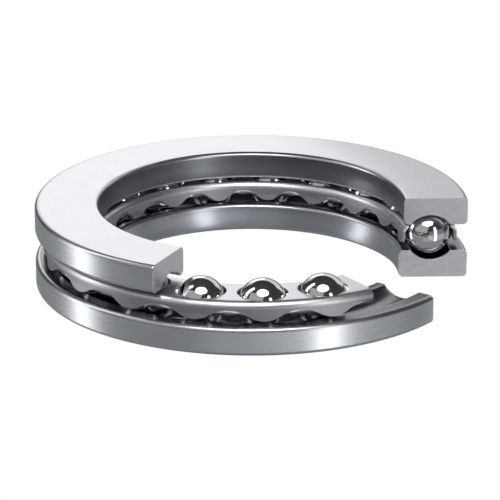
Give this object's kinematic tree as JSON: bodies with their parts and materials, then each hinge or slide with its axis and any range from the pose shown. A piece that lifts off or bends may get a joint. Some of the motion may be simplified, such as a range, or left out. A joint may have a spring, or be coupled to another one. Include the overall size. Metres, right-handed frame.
{
  "type": "thrust ball bearing",
  "caption": "Single-direction thrust ball bearing with grooved flat washers and a pressed-steel ball cage, cut away to show its balls.",
  "frame": {"origin": "on the bearing's axis, in the plane of the shaft washer's seating face, the base on which it stands", "axes": "+Z along the bearing's axis from the shaft washer to the housing washer; +X towards the section face that the rings share; -Y towards the cutaway"},
  "size_m": [0.088, 0.088, 0.017],
  "materials": {
    "ground_washer": "ground and honed bearing steel",
    "pressed_cage": "pressed sheet steel, satin",
    "polished_ball": "lapped bearing steel, mirror polished"
  },
  "bodies": {
    "shaft_washer": {"shaft_washer": "ground_washer"},
    "housing_washer": {"housing_washer": "ground_washer"},
    "cage": {"cage": "pressed_cage"},
    "ball_01": {"ball_01": "polished_ball"},
    "ball_02": {"ball_02": "polished_ball"},
    "ball_03": {"ball_03": "polished_ball"},
    "ball_04": {"ball_04": "polished_ball"},
    "ball_05": {"ball_05": "polished_ball"},
    "ball_06": {"ball_06": "polished_ball"},
    "ball_07": {"ball_07": "polished_ball"},
    "ball_08": {"ball_08": "polished_ball"},
    "ball_09": {"ball_09": "polished_ball"},
    "ball_10": {"ball_10": "polished_ball"},
    "ball_11": {"ball_11": "polished_ball"},
    "ball_12": {"ball_12": "polished_ball"},
    "ball_13": {"ball_13": "polished_ball"},
    "ball_14": {"ball_14": "polished_ball"},
    "ball_15": {"ball_15": "polished_ball"},
    "ball_16": {"ball_16": "polished_ball"}
  },
  "joints": [
    {"name": "housing_spin", "type": "hinge", "parent": "shaft_washer", "child": "housing_washer", "pos_m": [0, 0, 0.0085], "axis": [0, 0, 1], "continuous": true},
    {"name": "cage_spin", "type": "hinge", "parent": "shaft_washer", "child": "cage", "pos_m": [0, 0, 0.0085], "axis": [0, 0, 1], "continuous": true},
    {"name": "ball_01_roll", "type": "hinge", "parent": "cage", "child": "ball_01", "pos_m": [0.03614, 0.00514, 0.0085], "axis": [0.99, 0.1409, 0], "continuous": true},
    {"name": "ball_02_roll", "type": "hinge", "parent": "cage", "child": "ball_02", "pos_m": [0.03251, 0.0166, 0.0085], "axis": [0.8906, 0.4547, 0], "continuous": true},
    {"name": "ball_03_roll", "type": "hinge", "parent": "cage", "child": "ball_03", "pos_m": [0.02536, 0.02625, 0.0085], "axis": [0.6947, 0.7193, 0], "continuous": true},
    {"name": "ball_04_roll", "type": "hinge", "parent": "cage", "child": "ball_04", "pos_m": [0.01546, 0.03306, 0.0085], "axis": [0.4235, 0.9059, 0], "continuous": true},
    {"name": "ball_05_roll", "type": "hinge", "parent": "cage", "child": "ball_05", "pos_m": [0.00389, 0.03629, 0.0085], "axis": [0.1064, 0.9943, 0], "continuous": true},
    {"name": "ball_06_roll", "type": "hinge", "parent": "cage", "child": "ball_06", "pos_m": [-0.00811, 0.03559, 0.0085], "axis": [-0.2222, 0.975, 0], "continuous": true},
    {"name": "ball_07_roll", "type": "hinge", "parent": "cage", "child": "ball_07", "pos_m": [-0.01923, 0.03103, 0.0085], "axis": [-0.5267, 0.85, 0], "continuous": true},
    {"name": "ball_08_roll", "type": "hinge", "parent": "cage", "child": "ball_08", "pos_m": [-0.02826, 0.0231, 0.0085], "axis": [-0.7742, 0.633, 0], "continuous": true},
    {"name": "ball_09_roll", "type": "hinge", "parent": "cage", "child": "ball_09", "pos_m": [-0.03423, 0.01268, 0.0085], "axis": [-0.9378, 0.3473, 0], "continuous": true},
    {"name": "ball_10_roll", "type": "hinge", "parent": "cage", "child": "ball_10", "pos_m": [-0.03649, 0.00088, 0.0085], "axis": [-0.9997, 0.024, 0], "continuous": true},
    {"name": "ball_11_roll", "type": "hinge", "parent": "cage", "child": "ball_11", "pos_m": [-0.0348, -0.01102, 0.0085], "axis": [-0.9533, -0.3019, 0], "continuous": true},
    {"name": "ball_12_roll", "type": "hinge", "parent": "cage", "child": "ball_12", "pos_m": [-0.02933, -0.02172, 0.0085], "axis": [-0.8036, -0.5951, 0], "continuous": true},
    {"name": "ball_13_roll", "type": "hinge", "parent": "cage", "child": "ball_13", "pos_m": [-0.02069, -0.03007, 0.0085], "axis": [-0.5669, -0.8238, 0], "continuous": true},
    {"name": "ball_14_roll", "type": "hinge", "parent": "cage", "child": "ball_14", "pos_m": [-0.00981, -0.03516, 0.0085], "axis": [-0.2687, -0.9632, 0], "continuous": true},
    {"name": "ball_15_roll", "type": "hinge", "parent": "cage", "child": "ball_15", "pos_m": [0.00214, -0.03644, 0.0085], "axis": [0.0587, -0.9983, 0], "continuous": true},
    {"name": "ball_16_roll", "type": "hinge", "parent": "cage", "child": "ball_16", "pos_m": [0.01386, -0.03377, 0.0085], "axis": [0.3796, -0.9251, 0], "continuous": true}
  ],
  "couplings": [
    {"joint": "cage_spin", "follows": "housing_spin", "ratio": 0.5},
    {"joint": "ball_01_roll", "follows": "housing_spin", "ratio": -3.832},
    {"joint": "ball_02_roll", "follows": "housing_spin", "ratio": -3.832},
    {"joint": "ball_03_roll", "follows": "housing_spin", "ratio": -3.832},
    {"joint": "ball_04_roll", "follows": "housing_spin", "ratio": -3.832},
    {"joint": "ball_05_roll", "follows": "housing_spin", "ratio": -3.832},
    {"joint": "ball_06_roll", "follows": "housing_spin", "ratio": -3.832},
    {"joint": "ball_07_roll", "follows": "housing_spin", "ratio": -3.832},
    {"joint": "ball_08_roll", "follows": "housing_spin", "ratio": -3.832},
    {"joint": "ball_09_roll", "follows": "housing_spin", "ratio": -3.832},
    {"joint": "ball_10_roll", "follows": "housing_spin", "ratio": -3.832},
    {"joint": "ball_11_roll", "follows": "housing_spin", "ratio": -3.832},
    {"joint": "ball_12_roll", "follows": "housing_spin", "ratio": -3.832},
    {"joint": "ball_13_roll", "follows": "housing_spin", "ratio": -3.832},
    {"joint": "ball_14_roll", "follows": "housing_spin", "ratio": -3.832},
    {"joint": "ball_15_roll", "follows": "housing_spin", "ratio": -3.832},
    {"joint": "ball_16_roll", "follows": "housing_spin", "ratio": -3.832}
  ]
}
